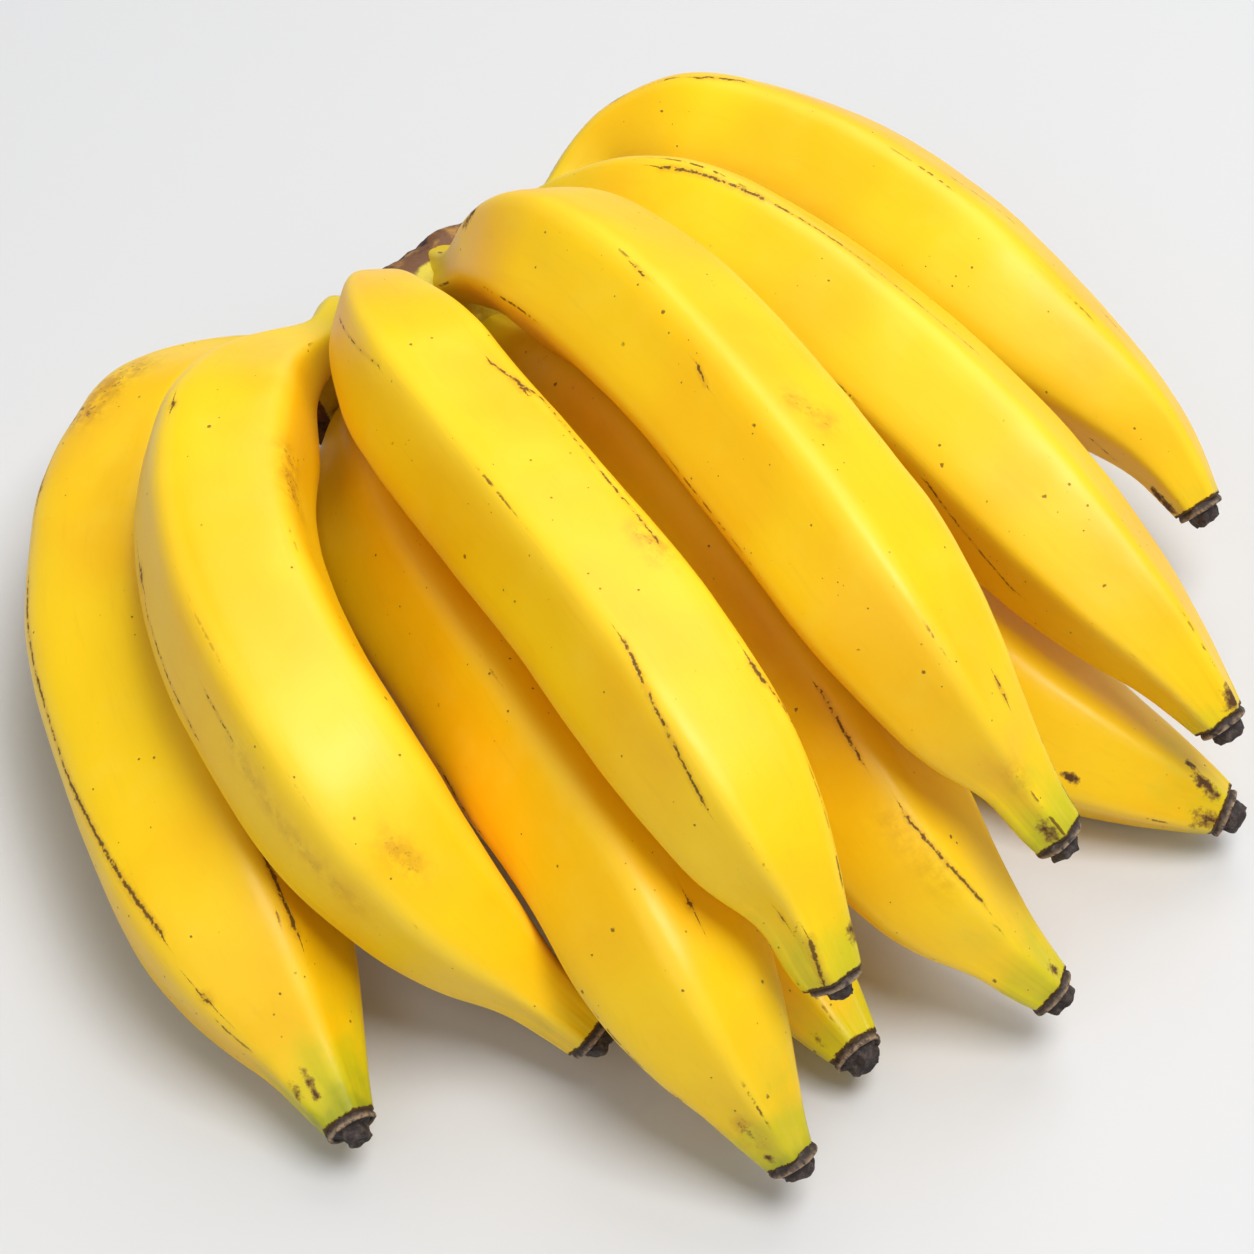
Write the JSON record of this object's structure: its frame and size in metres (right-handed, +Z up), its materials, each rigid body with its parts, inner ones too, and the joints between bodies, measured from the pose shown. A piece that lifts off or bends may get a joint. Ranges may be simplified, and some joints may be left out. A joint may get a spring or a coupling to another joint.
{
  "type": "bunch of bananas",
  "caption": "Ripe hand of bananas lying on its side: curved yellow fingers in a lower and an upper row, fanning out of one brown crown.",
  "frame": {"origin": "middle of the bounding box in X and Y, on the surface the bunch lies on", "axes": "+Z up; the blossom ends point towards -Y and +X, and the crown is behind, at -X +Y; the picture looks along +Y and down"},
  "size_m": [0.2354, 0.2466, 0.0963],
  "materials": {
    "peel": "ripe yellow peel, satin, with pale ridges, fine brown scars and greenish blossom ends",
    "crown": "dry fibrous brown crown, matt",
    "flower_end": "black-brown dried flower remnant, matt"
  },
  "bodies": {
    "root": {"crown": "crown", "banana_1": "peel", "banana_2": "peel", "banana_3": "peel", "banana_4": "peel", "banana_5": "peel", "banana_6": "peel", "banana_7": "peel", "banana_8": "peel", "banana_9": "peel", "banana_10": "peel", "flower_end_1": "flower_end", "flower_end_2": "flower_end", "flower_end_3": "flower_end", "flower_end_4": "flower_end", "flower_end_5": "flower_end", "flower_end_6": "flower_end", "flower_end_7": "flower_end", "flower_end_8": "flower_end", "flower_end_9": "flower_end", "flower_end_10": "flower_end"}
  },
  "joints": []
}
